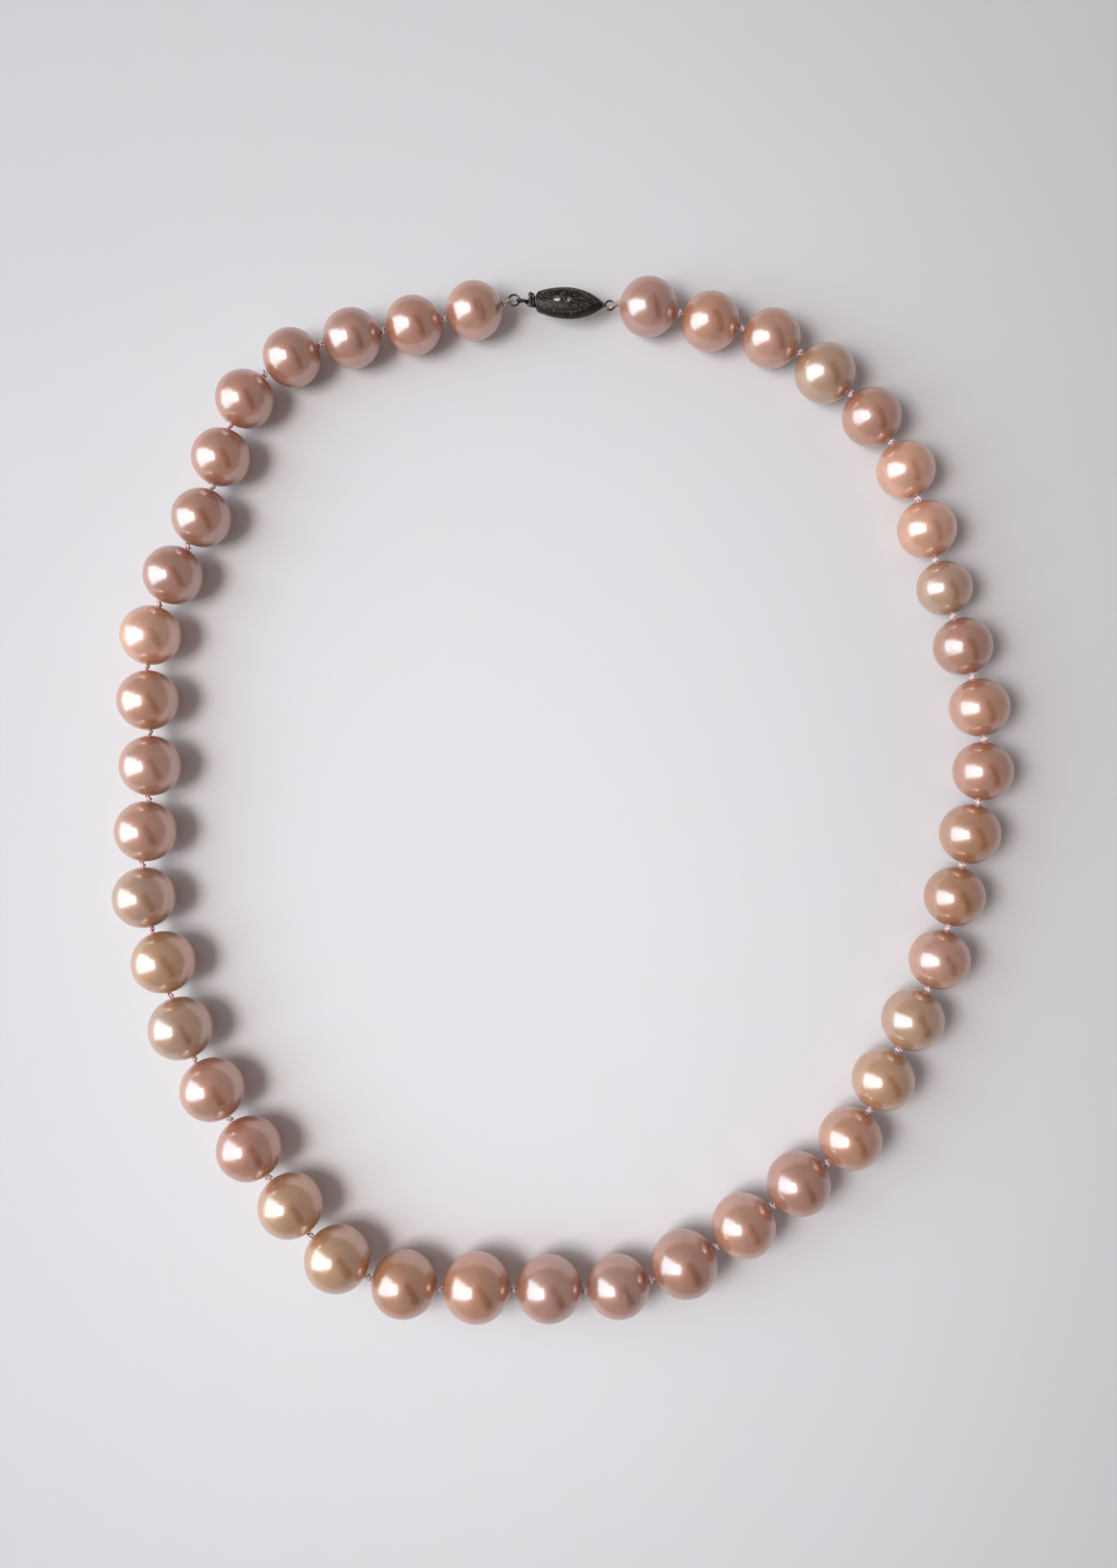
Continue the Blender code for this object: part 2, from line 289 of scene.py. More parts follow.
def silk_material():
    made, tree, shader = new_material("pink_silk")
    coords = node(tree, "ShaderNodeTexCoord")
    fibres = noise_map(tree, coords, 5200.0, 3.0, 0.0, 1.0)
    thread = mix_colour(tree, fibres, (0.86, 0.54, 0.50), (0.96, 0.74, 0.70))
    tree.links.new(thread, shader.inputs["Base Color"])
    shader.inputs["Roughness"].default_value = 0.55
    shader.inputs["Sheen Weight"].default_value = 0.35
    shader.inputs["Sheen Roughness"].default_value = 0.4
    bump(tree, shader, fibres, 0.35, 0.00002)
    return made


def silver_material():
    """Silver blackened in its hollows and rubbed brighter on its high edges."""
    made, tree, shader = new_material("oxidised_silver")
    coords = node(tree, "ShaderNodeTexCoord")
    shape = node(tree, "ShaderNodeNewGeometry")
    worn = node(tree, "ShaderNodeMapRange")
    worn.inputs["From Min"].default_value = 0.50
    worn.inputs["From Max"].default_value = 0.62
    tree.links.new(shape.outputs["Pointiness"], worn.inputs["Value"])
    stains = noise_map(tree, coords, 900.0, 4.0, 0.0, 1.0)
    dark = mix_colour(tree, stains, (0.018, 0.013, 0.011), (0.056, 0.042, 0.036))
    metal = mix_colour(tree, worn.outputs["Result"], dark, (0.23, 0.19, 0.17))
    tree.links.new(metal, shader.inputs["Base Color"])
    shader.inputs["Metallic"].default_value = 0.9
    tree.links.new(noise_map(tree, coords, 1500.0, 3.0, 0.38, 0.60), shader.inputs["Roughness"])
    bump(tree, shader, noise_map(tree, coords, 2600.0, 4.0, 0.0, 1.0), 0.35, 0.00003)
    return made


def piercing_light_plate_material():
    """The lining behind the piercings, a pale plate that stands for painted light showing through them."""
    made, tree, shader = new_material("piercing_light_plate")
    coords = node(tree, "ShaderNodeTexCoord")
    streaks = noise_map(tree, coords, 1800.0, 3.0, 0.0, 1.0)
    metal = mix_colour(tree, streaks, (0.70, 0.64, 0.62), (0.86, 0.81, 0.79))
    tree.links.new(metal, shader.inputs["Base Color"])
    shader.inputs["Metallic"].default_value = 0.2
    tree.links.new(noise_map(tree, coords, 3000.0, 2.0, 0.42, 0.60), shader.inputs["Roughness"])
    return made


def gimp_material():
    made, tree, shader = new_material("gimp_wire")
    coords = node(tree, "ShaderNodeTexCoord")
    tarnish = noise_map(tree, coords, 2200.0, 3.0, 0.0, 1.0)
    metal = mix_colour(tree, tarnish, (0.56, 0.44, 0.34), (0.78, 0.66, 0.54))
    tree.links.new(metal, shader.inputs["Base Color"])
    shader.inputs["Metallic"].default_value = 0.7
    shader.inputs["Roughness"].default_value = 0.38
    return made


def floor_material():
    """Matt pale board with faint scuffs, painted a little greyer away from the middle: a painted pool of
    light that falls off towards the edges.
    """
    made, tree, shader = new_material("pale_board")
    coords = node(tree, "ShaderNodeTexCoord")
    wide = noise_map(tree, coords, 9.0, 3.0, 0.0, 1.0)
    small = noise_map(tree, coords, 85.0, 4.0, 0.0, 1.0)
    base = mix_colour(tree, wide, (0.832, 0.748, 0.734), (0.850, 0.765, 0.748))
    base = mix_colour(tree, small, base, (0.836, 0.754, 0.732))
    # painted light: the board's colour darkens with distance from a spot near the middle, a painted pool of
    # light
    away = vector_math(tree, "SUBTRACT", coords.outputs["Object"], Vector((0.0, -0.02, 0.0)))
    away = vector_math(tree, "MULTIPLY", away.outputs["Vector"], Vector((1.0, 0.72, 0.0)))
    reach = vector_math(tree, "LENGTH", away.outputs["Vector"])
    fade = node(tree, "ShaderNodeMapRange", interpolation_type="SMOOTHSTEP")
    fade.inputs["From Min"].default_value = 0.0
    fade.inputs["From Max"].default_value = 0.17
    tree.links.new(reach.outputs["Value"], fade.inputs["Value"])
    # the greyer colour of the painted fall-off of light at the board's edges
    edge = mix_colour(tree, 1.0, base, (0.72, 0.72, 0.715), "MULTIPLY")
    tree.links.new(mix_colour(tree, fade.outputs["Result"], base, edge), shader.inputs["Base Color"])
    shader.inputs["Roughness"].default_value = 0.75
    shader.inputs["Specular IOR Level"].default_value = 0.25
    bump(tree, shader, small, 0.05, 0.0005)
    return made


NACRE = {letter: nacre(letter) for letter in NACRE_TONES}
SILK = silk_material()
SILVER = silver_material()
PIERCING_LIGHT = piercing_light_plate_material()
GIMP = gimp_material()

# ---------------------------------------------------------------- the strand


def middle_of(name):
    low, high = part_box(name)
    return (low + high) / 2 / MM, (high.z - low.z) / 2 / MM


def joint_place(name):
    found = next(j for j in frame["joints"] if j["name"] == name)
    return Vector(found["pos_m"]) / MM


centres, radii = zip(*(middle_of(f"pearl_{n:02d}") for n in range(1, PEARLS + 1)))
right_wire = joint_place("end_ring_knot_bend")
left_wire = joint_place("jump_ring_knot_bend")
chain = [right_wire, *centres, left_wire]
bores = [level(level(chain[k + 1] - chain[k]) + level(chain[k + 2] - chain[k + 1])) for k in range(PEARLS)]
entries = [c - b * r for c, b, r in zip(centres, bores, radii)]
exits = [c + b * r for c, b, r in zip(centres, bores, radii)]
knots = [(exits[k] + entries[k + 1]) / 2 for k in range(PEARLS - 1)]


def body_of(number):
    return f"pearl_{number:02d}_link"


def pearl_shape(number):
    """A drilled pearl: nearly round, with a soft lip at each hole, faint swells and a few pits."""
    chance = random.Random(500 + number)
    radius = radii[number - 1]
    along = bores[number - 1]
    side = UP.cross(along).normalized()
    squash = chance.uniform(0.004, 0.022)
    drift = Vector([chance.uniform(0, 50) for _ in range(3)])
    pits = []
    for _ in range(chance.choice((1, 2, 3, 4))):
        way = Vector([chance.gauss(0, 1) for _ in range(3)]).normalized()
        pits.append((way, chance.uniform(0.05, 0.13), chance.uniform(0.004, 0.012)))
    groove = chance.uniform(-0.6, 0.6) if chance.random() < 0.3 else None
    lip = 0.07
    start = math.asin((BORE_RADIUS + lip) / radius)
    outline = []
    rows = 44
    for k in range(rows + 1):
        angle = start + (math.pi - 2 * start) * k / rows
        outline.append((math.cos(angle) * radius, math.sin(angle) * radius, True))
    deep = math.cos(start) * radius
    outline.append((-deep + 0.02, BORE_RADIUS + 0.02, False))
    outline.append((-deep + 0.10, BORE_RADIUS, False))
    outline += [(z, BORE_RADIUS, False) for z in (-deep * 0.6, 0.0, deep * 0.6)]
    outline.append((deep - 0.10, BORE_RADIUS, False))
    outline.append((deep - 0.02, BORE_RADIUS + 0.02, False))
    rings = []
    around = 72
    for z, across, outer in outline:
        ring = []
        for j in range(around):
            angle = math.tau * j / around
            way = along * z + (side * math.cos(angle) + UP * math.sin(angle)) * across
            if outer:
                unit = way.normalized()
                near = min(1.0, (across - BORE_RADIUS) / 1.2)
                swell = 0.010 * noise.noise(unit * 1.1 + drift) + 0.0035 * noise.noise(unit * 3.2 + drift)
                for pit, width, depth in pits:
                    swell -= depth * math.exp(-(((unit - pit).length / width) ** 2))
                if groove is not None:
                    swell -= 0.006 * math.exp(-(((unit.dot(along) - groove) / 0.06) ** 2))
                way = way * (1 + swell * near)
            ring.append(centres[number - 1] + way - along * way.dot(along) * squash)
        rings.append(ring)
    points, faces = skin(rings, round_trip=True)
    return points, [tuple(reversed(f)) for f in faces]


def overhand_knot(centre, way, chance):
    """A pulled-tight overhand knot of plied silk."""
    side = way.cross(UP).normalized()
    up = side.cross(way)
    turn = Matrix.Rotation(chance.uniform(0, math.tau), 3, way)
    a, b = turn @ side, turn @ up
    path = []
    steps = 66
    for k in range(steps):
        t = math.tau * k / steps
        reach = 0.36 + 0.13 * math.cos(3 * t)
        path.append(
            centre
            + a * reach * math.cos(2 * t)
            + b * reach * math.sin(2 * t)
            + way * 0.175 * math.sin(3 * t)
        )
    return tube(path, 0.172, 10, round_trip=True, lobes=2, pitch=0.5, depth=0.28)


def silk_piece(number):
    """The silk inside one pearl, out to the knot on each side, with the knot on its far side."""
    chance = random.Random(900 + number)
    before = knots[number - 2] if number > 1 else None
    after = knots[number - 1] if number < PEARLS else None
    along = bores[number - 1]
    shapes = []
    start = before if before is not None else centres[number - 1] - along * 1.2
    end = after if after is not None else centres[number - 1] + along * 1.2
    points = [start, entries[number - 1] + along * 0.4, exits[number - 1] - along * 0.4, end]
    if before is None:
        points = [start, exits[0] - along * 0.4, end]
    if after is None:
        points = [start, entries[-1] + along * 0.4, end]
    path = []
    for a, b in zip(points[:-1], points[1:]):
        steps = max(3, int((b - a).length / (0.09 if (b - a).length < 2 else 0.5)))
        path += [a.lerp(b, k / steps) for k in range(steps)]
    path.append(points[-1])
    shapes.append(tube(path, SILK_RADIUS, 10, lobes=2, pitch=0.7, depth=0.3))
    own_knot = None
    if number <= LAST_RIGHT:
        own_knot = number - 1
    elif number > LAST_RIGHT + 1:
        own_knot = number - 2
    if own_knot is not None:
        way = (entries[own_knot + 1] - exits[own_knot]).normalized()
        shapes.append(overhand_knot(knots[own_knot], way, chance))
    return joined(*shapes)


for number in range(1, PEARLS + 1):
    points, faces = millimetres(pearl_shape(number))
    pearl = mesh_object(f"nacre_pearl_{number:02d}", points, faces, NACRE[TONES[number - 1]])
    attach(pearl, body_of(number))
    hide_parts(f"pearl_{number:02d}")
    points, faces = millimetres(silk_piece(number))
    silk = mesh_object(f"silk_{number:02d}", points, faces, SILK)
    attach(silk, body_of(number))
    if number == 1:
        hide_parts("silk_thread")


def loop_points(wire, way, mouth):
    """The way round a ring's wire and back into the pearl's hole."""
    path = [mouth + way * 0.9 - UP * LEG_OFFSET, mouth - UP * LEG_OFFSET * 1.1]
    for k in range(9):
        angle = math.pi * k / 8
        path.append(wire - way * math.sin(angle) * LOOP_RADIUS - UP * math.cos(angle) * LOOP_RADIUS)
    path += [mouth + UP * LEG_OFFSET * 1.1, mouth + way * 0.9 + UP * LEG_OFFSET]
    return smooth_path(path, 10)


def coil(path, radius, wire, pitch):
    """A close-wound helix of fine wire round a path."""
    pairs = frames_along(path)
    line = []
    travelled = 0.0
    steps = 10
    for k in range(len(path) - 1):
        gap = path[k + 1] - path[k]
        parts = max(1, round(gap.length / (pitch / steps)))
        for part in range(parts):
            t = part / parts
            angle = math.tau * (travelled + gap.length * t) / pitch
            a, b = (pairs[k][i].lerp(pairs[k + 1][i], t) for i in (0, 1))
            line.append(path[k] + gap * t + (a * math.cos(angle) + b * math.sin(angle)) * (radius - wire))
        travelled += gap.length
    return tube(line, wire, 6)


for side, wire, way, mouth, number in (
    ("right", right_wire, level(entries[0] - right_wire), entries[0], 1),
    ("left", left_wire, level(exits[-1] - left_wire), exits[-1], PEARLS),
):
    path = loop_points(wire, way, mouth)
    wrap = []
    for k in range(64):
        angle = math.tau * 4 * k / 63
        cross = way.cross(UP)
        spin = cross * math.cos(angle) * 0.38 + UP * math.sin(angle) * 0.42
        wrap.append(mouth - way * (0.09 + 0.30 * k / 63) + spin)
    points, faces = millimetres(joined(coil(path, GIMP_RADIUS, GIMP_WIRE, 0.1), tube(wrap, 0.12, 8)))
    gimp = mesh_object(f"coiled_gimp_{side}", points, faces, GIMP)
    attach(gimp, body_of(number))
    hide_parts(f"gimp_{side}")
    points, faces = millimetres(tube(path, 0.11, 8, lobes=2, pitch=0.7, depth=0.3))
    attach(mesh_object(f"silk_loop_{side}", points, faces, SILK), body_of(number))

# ---------------------------------------------------------------- the clasp

clasp_frame = Matrix.Translation(Vector(CLASP_PLACE)) @ Matrix.Rotation(math.radians(CLASP_TURN), 4, "Z")


def clasp_piece(name, shape, body, *nodes, surface=SILVER):
    """A silver piece from a shape in the clasp's own millimetres."""
    points, faces = shape
    points = [(clasp_frame @ Vector(p)) * MM for p in points]
    made = mesh_object(name, points, faces, surface)
    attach(made, body)
    if nodes:
        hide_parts(*nodes)
    return made


def ring_shape(u, radius, wire, upright, seam=0.0):
    path = []
    for k in range(64):
        angle = math.tau * k / 64
        x, y = math.cos(angle) * radius, math.sin(angle) * radius
        path.append(Vector((u + x, 0, y)) if upright else Vector((u + x, y, 0)))
    sizes = [1 + seam * math.exp(-(((k - 48) / 2.2) ** 2)) for k in range(64)]
    return tube(path, wire, 14, round_trip=True, sizes=sizes)


def fuller(u):
    """The almond keeps more of its width towards the mouth than towards the far tip."""
    return u / MOUTH_FULLNESS if u < 0 else u


def half_width(u):
    """How far the pointed oval reaches across at this place along it."""
    half, rise = SHELL_LENGTH / 2, SHELL_WIDTH / 2
    big = (half**2 + rise**2) / (2 * rise)
    return max(0.0, math.sqrt(max(0.0, big**2 - fuller(u) ** 2)) - (big - rise))


def dome_height(u, v):
    """The height of the almond's top over its seam."""
    wide = half_width(u)
    if wide <= 1e-6:
        return 0.0
    across = min(1.0, abs(v) / wide)
    along = min(1.0, abs(fuller(u)) / (SHELL_LENGTH / 2))
    return SHELL_RISE * math.sqrt(max(0.0, 1 - across**2)) * max(0.0, 1 - along**2.4) ** 0.6


def domed(u, v, side, lift=0.0):
    """The place on the shell's outside over (u, v). Side is 1 for the top half and -1 for the bottom half."""
    return Vector((u, v, side * (SEAM + dome_height(u, v) + lift)))


def outline(scale, start_u, count, side, lift):
    """Along the pointed oval's edge from the mouth, round the far tip and back, on the dome's surface."""
    half = SHELL_LENGTH / 2 * scale
    first = math.asin(max(-1.0, start_u / half))
    path = []
    for way in (1, -1):
        places = [half * math.sin(first + (math.pi / 2 - first) * k / count) for k in range(count + 1)]
        if way < 0:
            places = places[-2::-1]
        for u in places:
            v = way * half_width(u / scale) * scale
            path.append(domed(u, v, side, lift))
    return path


def shell_shape(side, holes):
    """Half the hollow almond: an outer and an inner skin with rims, open at the mouth and at the holes."""
    long_steps, wide_steps = 150, 56
    spots = {}
    for i in range(long_steps + 1):
        share = i / long_steps
        for j in range(wide_steps + 1):
            t = math.sin(math.pi / 2 * (2 * j / wide_steps - 1))
            near = MOUTH_U + 0.5 * t * t
            u = near + (SHELL_LENGTH / 2 - near) * (1 - (1 - share) ** 1.15)
            spots[i, j] = [u, t * half_width(u)]
    gone = set()
    for (i, j), (u, v) in spots.items():
        if any(((u - x) / long) ** 2 + ((v - y) / wide) ** 2 < 0.8 for x, y, long, wide in holes):
            gone.add((i, j))
    cells = []
    for i in range(long_steps):
        for j in range(wide_steps):
            corners = [(i, j), (i + 1, j), (i + 1, j + 1), (i, j + 1)]
            if not any(c in gone for c in corners):
                cells.append(corners)
    for (i, j), spot in spots.items():
        around = [(i + a, j + b) for a in (-1, 0, 1) for b in (-1, 0, 1)]
        if (i, j) in gone or not any(c in gone for c in around):
            continue
        for x, y, long, wide in holes:
            far = math.hypot((spot[0] - x) / long, (spot[1] - y) / wide)
            if far < 1.6:
                spot[0] = x + (spot[0] - x) / far
                spot[1] = y + (spot[1] - y) / far
    points, index = [], {}
    for key, (u, v) in spots.items():
        if key in gone:
            continue
        index[key] = len(points)
        shrink = 1 - SHELL_WALL / 2.1
        deep = SEAM + max(0.0, dome_height(u, v) - SHELL_WALL)
        points += [domed(u, v, side), Vector((u * shrink if u > 0 else u, v * shrink, side * deep))]
    edges = {}
    faces = []
    for corners in cells:
        ring = [index[c] for c in corners]
        if side < 0:
            ring.reverse()
        faces += [tuple(ring), tuple(k + 1 for k in reversed(ring))]
        for a, b in zip(ring, ring[1:] + ring[:1]):
            edges[a, b] = edges.get((a, b), 0) + 1
    for a, b in edges:
        if (b, a) not in edges:
            faces.append((b, a, a + 1, b + 1))
    return points, faces


def ball(centre, radius, flat=1.0):
    """A granule, flattened along w when flat is under 1."""
    rings = []
    for k in range(1, 8):
        angle = math.pi * k / 8
        ring = []
        for j in range(12):
            turn = math.tau * j / 12
            across = math.sin(angle)
            way = Vector((math.cos(turn) * across, math.sin(turn) * across, -math.cos(angle) * flat))
            ring.append(centre + way * radius)
        rings.append(ring)
    return skin(rings)


def scroll(u, v, size, turns, start, way, side, wire):
    """A flat spiral of wire lying on the dome."""
    path = []
    steps = int(26 * turns)
    for k in range(steps + 1):
        t = k / steps
        reach = size * (1 - 0.82 * t)
        angle = start + way * math.tau * turns * t
        path.append(domed(u + math.cos(angle) * reach * 1.25, v + math.sin(angle) * reach, side, 0.02))
    sizes = [1.0 - 0.25 * k / steps for k in range(steps + 1)]
    return tube(path, wire, 8, sizes=sizes)


def on_dome(points, pieces, side, lift, wire):
    """A wire through these (u, v) places, laid on the dome."""
    flat = smooth_path([Vector((u, v, 0)) for u, v in points], pieces)
    return tube([domed(p.x, p.y, side, lift) for p in flat], wire, 8)


def ribbon(path, halves, thick, steps=6):
    """A strip of metal with rounded edges along a path in the (u, w) plane."""
    line = smooth_path([Vector((u, 0, w)) for u, w in path], steps)
    rings = []
    for k, place in enumerate(line):
        before, after = line[max(0, k - 1)], line[min(len(line) - 1, k + 1)]
        way = (after - before).normalized()
        across = Vector((-way.z, 0, way.x))
        share = k / (len(line) - 1) * (len(halves) - 1)
        low = min(int(share), len(halves) - 2)
        half = halves[low] + (halves[low + 1] - halves[low]) * (share - low)
        ring = []
        for j in range(16):
            angle = math.tau * (j + 0.5) / 16
            x, y = math.cos(angle), math.sin(angle)
            squash = max(abs(x), abs(y)) ** 0.75
            ring.append(
                place
                + Vector((0, 1, 0)) * (half - thick / 2 + thick / 2 * abs(x) / squash) * (1 if x > 0 else -1)
                + across * thick / 2 * y / squash
            )
        rings.append(ring)
    return skin(rings)


for side, name, solid in ((1, "top_half", "clasp_top_shell"), (-1, "bottom_half", "clasp_bottom_shell")):
    clasp_piece(name, shell_shape(side, HOLES if side > 0 else ()), "clasp_housing", solid)
    parts = [tube(outline(0.74, -3.1, 44, side, 0.03), 0.075, 8, lobes=2, pitch=0.45, depth=0.35)]
    for way in (1, -1):
        parts.append(scroll(2.55, way * 0.52, 0.46, 1.4, -way * 0.6, way, side, 0.085))
        parts.append(scroll(-3.05, way * 0.50, 0.36, 1.3, math.pi + way * 0.5, -way, side, 0.08))
        parts.append(scroll(-3.95, way * 0.62, 0.40, 1.4, way * 0.9, way, side, 0.085))
        parts.append(scroll(-2.0, way * 1.52, 0.24, 1.1, way * 2.0, -way, side, 0.07))
        parts.append(scroll(0.6, way * 1.70, 0.24, 1.1, way * 2.0, -way, side, 0.07))
        parts.append(scroll(-3.35, way * 1.28, 0.24, 1.1, way * 1.2, way, side, 0.07))
        parts.append(scroll(1.15, way * 0.86, 0.34, 1.2, way * 2.4, -way, side, 0.075))
        parts.append(scroll(-0.75, way * 0.95, 0.36, 1.3, way * 0.5, way, side, 0.08))
        leaf_line = [(-2.7, way * 0.16), (-1.9, way * 0.50), (-0.9, way * 0.48), (-0.45, way * 0.10)]
        parts.append(on_dome(leaf_line, 8, side, 0.02, 0.075))
        leaf_line = [(-0.45, way * 0.10), (-0.1, way * 0.38), (0.4, way * 0.36), (0.75, way * 0.06)]
        parts.append(on_dome(leaf_line, 8, side, 0.02, 0.07))
        leaf_line = [(0.75, way * 0.06), (1.5, way * 0.38), (2.4, way * 0.24), (3.9, 0.0)]
        parts.append(on_dome(leaf_line, 8, side, 0.02, 0.07))
        border = [(-4.0, 1.22), (-2.7, 1.62), (-1.3, 1.80), (-0.6, 1.86)]
        border += [(1.3, 1.66), (2.1, 1.42), (2.9, 1.08)]
        for u, v in (*border, (-2.25, 0.93), (0.35, 1.22), (1.95, 1.08), (3.35, 0.55)):
            parts.append(ball(domed(u, way * v, side, 0.02), 0.125))
    parts.append(ball(domed(0.78, 0.0, side, 0.03), 0.15))
    parts.append(ball(domed(-0.45, 0.0, side, 0.03), 0.13))
    parts.append(ball(domed(4.35, 0.0, side, 0.02), 0.14))
    parts.append(ball(domed(-3.55, 0.0, side, 0.02), 0.15))
    parts.append(ball(domed(-4.35, 0.0, side, 0.0), 0.17))
    clasp_piece(f"{name}_filigree", joined(*parts), "clasp_housing")

# the pale plate just under the piercings of the top half: painted light showing through them
lining_points = []
lining_faces = []
for k in range(13):
    for j in range(7):
        lining_points.append(domed(-2.7 + 3.4 * k / 12, -0.45 + 0.15 * j, 1, -0.37))
        if k and j:
            corner = k * 7 + j
            lining_faces.append((corner - 8, corner - 1, corner, corner - 7))
clasp_piece("painted_light_lining", (lining_points, lining_faces), "clasp_housing", surface=PIERCING_LIGHT)

for side, name in ((1, "upper_lip"), (-1, "lower_lip")):
    lip = []
    for k in range(49):
        t = math.sin(math.pi / 2 * (k / 24 - 1))
        u = MOUTH_U + 0.5 * t * t
        lip.append(domed(u, t * half_width(u), side, -0.06))
    clasp_piece(name, tube(lip, 0.14, 10, lobes=3, pitch=0.7, depth=0.3), "clasp_housing")

rim = [Vector((p.x, p.y, 0.0)) for p in outline(1.0, -4.5, 90, 1, 0.0)]
clasp_piece("rope_rim", tube(rim, 0.185, 12, lobes=3, pitch=0.9, depth=0.38), "clasp_housing")
bead_row = []
for bead_w in (0.19, -0.19):
    bead_row += [ball(Vector((p.x, p.y, bead_w)), 0.085) for p in outline(0.935, -4.1, 34, 1, 0.0)]
clasp_piece("milgrain", joined(*bead_row), "clasp_housing")

bar = [Vector((BAR_U, v, BAR_W)) for v in (-1.12, -1.08, -0.9, -0.4, 0.0, 0.4, 0.9, 1.08, 1.12)]
bar_sizes = [0.6, 0.95, 1.0, 0.96, 0.94, 0.96, 1.0, 0.95, 0.6]
clasp_piece("catch_bar", tube(bar, BAR_RADIUS, 18, sizes=bar_sizes), "clasp_housing", "clasp_catch_bar")

collar_line = [Vector((u, 0, 0)) for u in (5.35, 5.5, 5.7, 5.95, 6.02)]
end_collar = tube(collar_line, 0.30, 14, sizes=[0.7, 1.0, 1.0, 0.85, 0.6])
end_link = ring_shape(END_RING_U, END_RING_RADIUS, RING_WIRE, False, 0.2)
clasp_piece("end_ring", joined(end_collar, end_link), "clasp_housing", "clasp_end_ring")
jump_ring = ring_shape(JUMP_RING_U, JUMP_RING_RADIUS, RING_WIRE, False)
clasp_piece("jump_ring_wire", jump_ring, "jump_ring_link", "jump_ring")

base_path = [(-6.28, -0.50), (-5.6, -0.54), (-3.0, -0.56), (-0.5, -0.55), (0.6, -0.50)]
base_path += [(0.90, -0.30), (0.92, 0.0), (0.72, 0.21), (0.3, 0.25), (-0.18, 0.23)]
base_halves = [0.40, 0.74, 0.74, 0.74, 0.74, 0.72, 0.62, 0.50, 0.45, 0.42]
root_path = [(-6.85, 0.02), (-6.68, -0.02), (-6.45, -0.28), (-6.2, -0.50), (-5.9, -0.55)]
hook_parts = [
    ribbon(base_path, base_halves, 0.19),
    ribbon(root_path, [0.16, 0.24, 0.30, 0.34, 0.34], 0.22),
    ring_shape(HOOK_RING_U, HOOK_RING_RADIUS, RING_WIRE, True),
    ball(Vector((-6.72, 0, 0.0)), 0.21),
]
clasp_piece("fish_hook", joined(*hook_parts), "hook", "hook_base")

leaf_path = [(1.18, 0.52), (0.4, 0.535), (-1.5, 0.545), (-3.6, 0.535), (-5.2, 0.53), (-5.95, 0.56)]
tab_parts = [ribbon(leaf_path, [0.50, 0.59, 0.59, 0.58, 0.56, 0.50], 0.15)]
tab_bar = [Vector((-5.72, v, 0.72)) for v in (-1.14, -1.02, -0.6, -0.25, 0.0, 0.25, 0.6, 1.02, 1.14)]
tab_parts.append(tube(tab_bar, 0.26, 12, sizes=[0.5, 0.9, 1.0, 0.85, 1.05, 0.85, 1.0, 0.9, 0.5]))
for v, radius in ((-0.76, 0.38), (0.0, 0.30), (0.76, 0.38)):
    tab_parts.append(ball(Vector((-5.72, v, 0.78)), radius, 0.8))
for way in (1, -1):
    curl = [(-5.50, 0.95), (-5.26, 0.80), (-5.18, 0.48), (-5.28, 0.20)]
    curl = [Vector((u, way * v, 0.70)) for u, v in curl]
    tab_parts.append(tube(smooth_path(curl, 6), 0.15, 8))
clasp_piece("spring_leaf", joined(*tab_parts), "spring_leaf", "hook_spring_leaf")

# ---------------------------------------------------------------- floor, light and camera

bpy.ops.mesh.primitive_plane_add(size=6.0, location=(0, 0, 0))
floor = bpy.context.object
floor.name = "floor"
floor.data.materials.append(floor_material())


def area_light(name, azimuth, elevation, distance, width, height, power, colour):
    """A soft box aimed at the middle of the loop. The azimuth turns from +X towards +Y."""
    data = bpy.data.lights.new(name, "AREA")
    data.shape = "RECTANGLE"
    data.size = width
    data.size_y = height
    data.energy = power
    data.color = colour
    made = bpy.data.objects.new(name, data)
    a, e = math.radians(azimuth), math.radians(elevation)
    way = Vector((math.cos(a) * math.cos(e), math.sin(a) * math.cos(e), math.sin(e)))
    made.location = way * distance
    made.rotation_euler = way.to_track_quat("Z", "Y").to_euler()
    bpy.context.scene.collection.objects.link(made)
    return made


area_light("high_window", -173, 61, 0.95, 0.44, 0.29, 5.4, (0.92, 0.965, 1.0))
area_light("low_window", -178, 26, 0.90, 0.84, 0.88, 7.6, (0.62, 0.87, 1.0))

world = bpy.data.worlds.new("studio")
bpy.context.scene.world = world
world.use_nodes = True
sky = world.node_tree
background = sky.nodes["Background"]
direction = node(sky, "ShaderNodeTexCoord").outputs["Generated"]


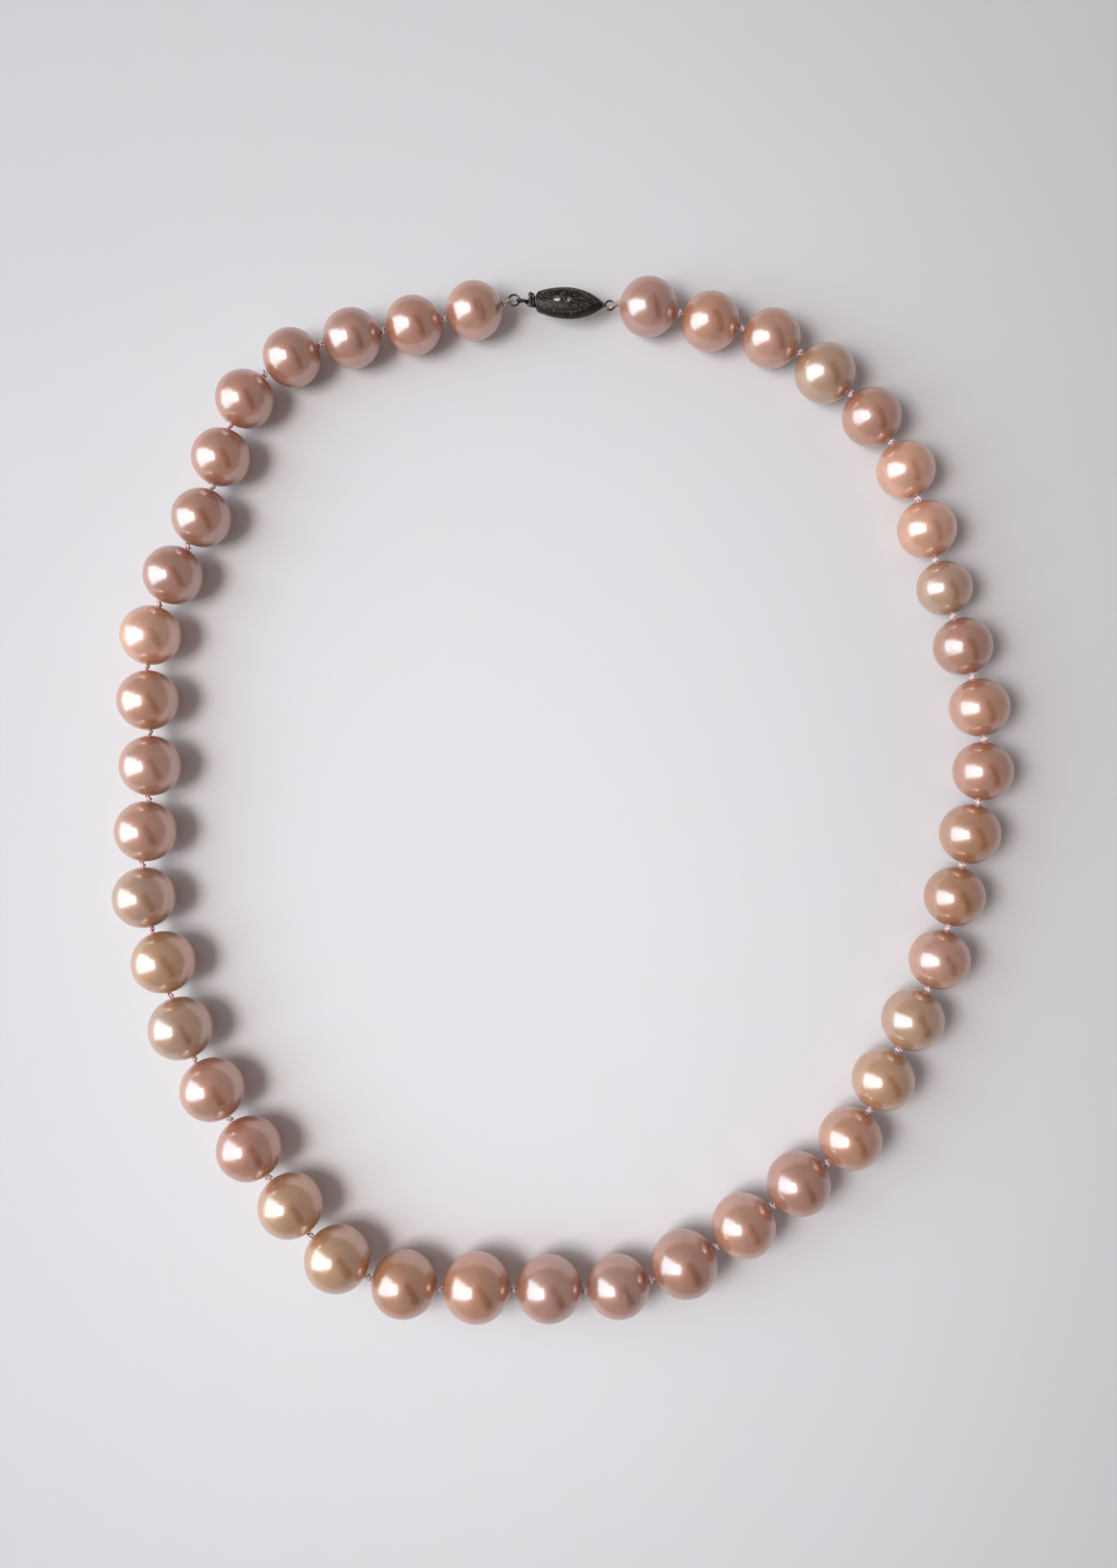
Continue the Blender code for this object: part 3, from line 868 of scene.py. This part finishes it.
def dark_card(tree, start, end, core, edge):
    """1 within the core distance of the arc from start to end across the sky, fading to 0 at the edge."""
    start, end = Vector(start).normalized(), Vector(end).normalized()
    along = end - start
    from_start = vector_math(tree, "SUBTRACT", direction, start)
    share = vector_math(tree, "DOT_PRODUCT", from_start.outputs["Vector"], along / along.length_squared)
    clamp = node(tree, "ShaderNodeClamp")
    tree.links.new(share.outputs["Value"], clamp.inputs["Value"])
    spread = node(tree, "ShaderNodeCombineXYZ")
    for socket in spread.inputs:
        tree.links.new(clamp.outputs["Result"], socket)
    step = vector_math(tree, "MULTIPLY", spread.outputs["Vector"], along)
    gap = vector_math(tree, "DISTANCE", from_start.outputs["Vector"], step.outputs["Vector"])
    fade = node(tree, "ShaderNodeMapRange", interpolation_type="SMOOTHSTEP")
    fade.inputs["From Min"].default_value = edge
    fade.inputs["From Max"].default_value = core
    tree.links.new(gap.outputs["Value"], fade.inputs["Value"])
    return fade.outputs["Result"]


height = node(sky, "ShaderNodeSeparateXYZ")
sky.links.new(direction, height.inputs[0])
room = mix_colour(sky, height.outputs["Z"], (0.40, 0.37, 0.36), (0.29, 0.295, 0.32))
card = node(sky, "ShaderNodeMath", operation="MAXIMUM")
sky.links.new(dark_card(sky, (0.25, 0.25, 0.93), (0.56, -0.32, 0.76), 0.15, 0.25), card.inputs[0])
sky.links.new(dark_card(sky, (0.56, -0.32, 0.76), (0.60, -0.66, 0.45), 0.14, 0.26), card.inputs[1])
lit_room = mix_colour(sky, card.outputs["Value"], room, (0.015, 0.011, 0.008))
sky.links.new(lit_room, background.inputs["Color"])
background.inputs["Strength"].default_value = 1.0

CAMERA_HEIGHT = 0.210
CAMERA_VIEW = 0.2426
camera_data = bpy.data.cameras.new("camera")
camera_data.sensor_width = 36.0
camera_data.lens = 36.0 * (CAMERA_HEIGHT - 0.005) / CAMERA_VIEW
camera = bpy.data.objects.new("camera", camera_data)
camera.location = (-0.0008, 0.0023, CAMERA_HEIGHT)
camera.rotation_euler = (0, 0, 0.002)
bpy.context.scene.collection.objects.link(camera)
bpy.context.scene.camera = camera
bpy.context.scene.view_settings.view_transform = "Standard"
